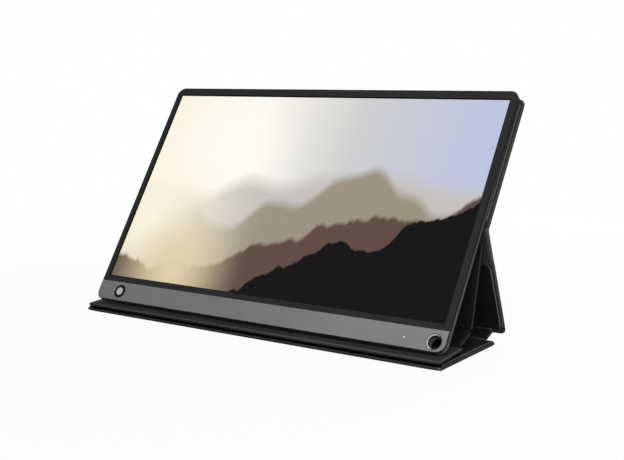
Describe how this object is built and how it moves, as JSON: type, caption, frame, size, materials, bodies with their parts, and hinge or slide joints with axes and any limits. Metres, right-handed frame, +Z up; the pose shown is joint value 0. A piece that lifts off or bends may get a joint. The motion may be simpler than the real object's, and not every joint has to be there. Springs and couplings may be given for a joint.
{
  "type": "portable monitor with cover",
  "caption": "Thin portable monitor leaning back on its folded leatherette cover, with hinged cover leaves, a push power button and a stylus hole through the chin.",
  "frame": {"origin": "on the table under the middle of the monitor's lower front edge", "axes": "+X to the right of the screen, +Y to the back, +Z up"},
  "size_m": [0.36, 0.1389, 0.1984],
  "materials": {
    "cover_skin": "matt grained leatherette",
    "cover_board": "pressed board",
    "cover_lining": "brushed microfibre",
    "dark_housing": "fine matt texture",
    "dark_bezel": "satin",
    "grey_chin": "satin grey paint",
    "screen_glass": "anti-glare",
    "white_sheet": "satin white",
    "clear_acrylic": "clear",
    "pan_metal": "bare sheet",
    "circuit_board": "solder mask",
    "steel": "plated",
    "silver_cap": "satin",
    "black_ring": "gloss",
    "bright_rim": "polished"
  },
  "bodies": {
    "base": {"base_skin": "cover_skin", "base_board": "cover_board", "base_lining": "cover_lining", "base_crease": "cover_skin", "front_fold": "cover_skin", "ledge_skin": "cover_skin", "ledge_board": "cover_board", "ledge_lining": "cover_lining", "riser_crease": "cover_skin"},
    "riser": {"riser_skin": "cover_skin", "riser_board": "cover_board", "riser_lining": "cover_lining", "prop_crease": "cover_skin"},
    "prop": {"prop_skin": "cover_skin", "prop_board": "cover_board", "prop_lining": "cover_lining"},
    "spine": {"spine_strip": "cover_skin", "leg_crease": "cover_skin"},
    "leg": {"leg_skin": "cover_skin", "leg_board": "cover_board", "leg_lining": "cover_lining", "leg_web": "cover_skin"},
    "back_cover": {"back_skin": "cover_skin", "back_board": "cover_board", "back_lining": "cover_lining", "cover_magnets": "steel"},
    "monitor": {"rear_housing": "dark_housing", "front_bezel": "dark_bezel", "chin_strip": "grey_chin", "lcd_panel": "screen_glass", "diffuser_sheets": "white_sheet", "light_guide": "clear_acrylic", "back_pan": "pan_metal", "led_bar": "white_sheet", "main_board": "circuit_board", "driver_board": "circuit_board", "panel_flex": "circuit_board", "board_screws": "steel", "usb_c_receptacle": "steel", "button_ring": "black_ring", "power_switch": "black_ring", "status_light": "clear_acrylic", "hole_sleeve": "bright_rim", "magnet_plates": "steel"},
    "button": {"power_button": "silver_cap"}
  },
  "joints": [
    {"name": "stand_fold", "type": "hinge", "parent": "spine", "child": "leg", "pos_m": [0, 0.10428, 0.00719], "axis": [-1, 0, 0], "range_deg": [0, 91]},
    {"name": "spine_fold", "type": "hinge", "parent": "base", "child": "spine", "pos_m": [0, 0.0892, 0.0014], "axis": [-1, 0, 0], "range_deg": [0, 21.5]},
    {"name": "display_crease", "type": "hinge", "parent": "leg", "child": "back_cover", "pos_m": [0, 0.0662, 0.09417], "axis": [1, 0, 0], "range_deg": [0, 54.3]},
    {"name": "riser_fold", "type": "hinge", "parent": "base", "child": "riser", "pos_m": [0, 0.03051, 0.00829], "axis": [-1, 0, 0], "range_deg": [0, 30.5]},
    {"name": "prop_fold", "type": "hinge", "parent": "riser", "child": "prop", "pos_m": [0, 0.05128, 0.01626], "axis": [-1, 0, 0], "range_deg": [0, 46.9]},
    {"name": "monitor_lift_off", "type": "slide", "parent": "back_cover", "child": "monitor", "axis": [0, -0.8387, 0.5446], "range_m": [0, 0.08]},
    {"name": "power_button_press", "type": "slide", "parent": "monitor", "child": "button", "axis": [0, 0.8387, -0.5446], "range_m": [0, 0.0006], "stiffness_N_per_m": 1500}
  ],
  "couplings": [
    {"joint": "spine_fold", "follows": "stand_fold", "ratio": 0.23042},
    {"joint": "display_crease", "follows": "stand_fold", "ratio": 0.59074},
    {"joint": "riser_fold", "follows": "stand_fold", "ratio": 0.32916},
    {"joint": "prop_fold", "follows": "stand_fold", "ratio": 0.50911}
  ]
}
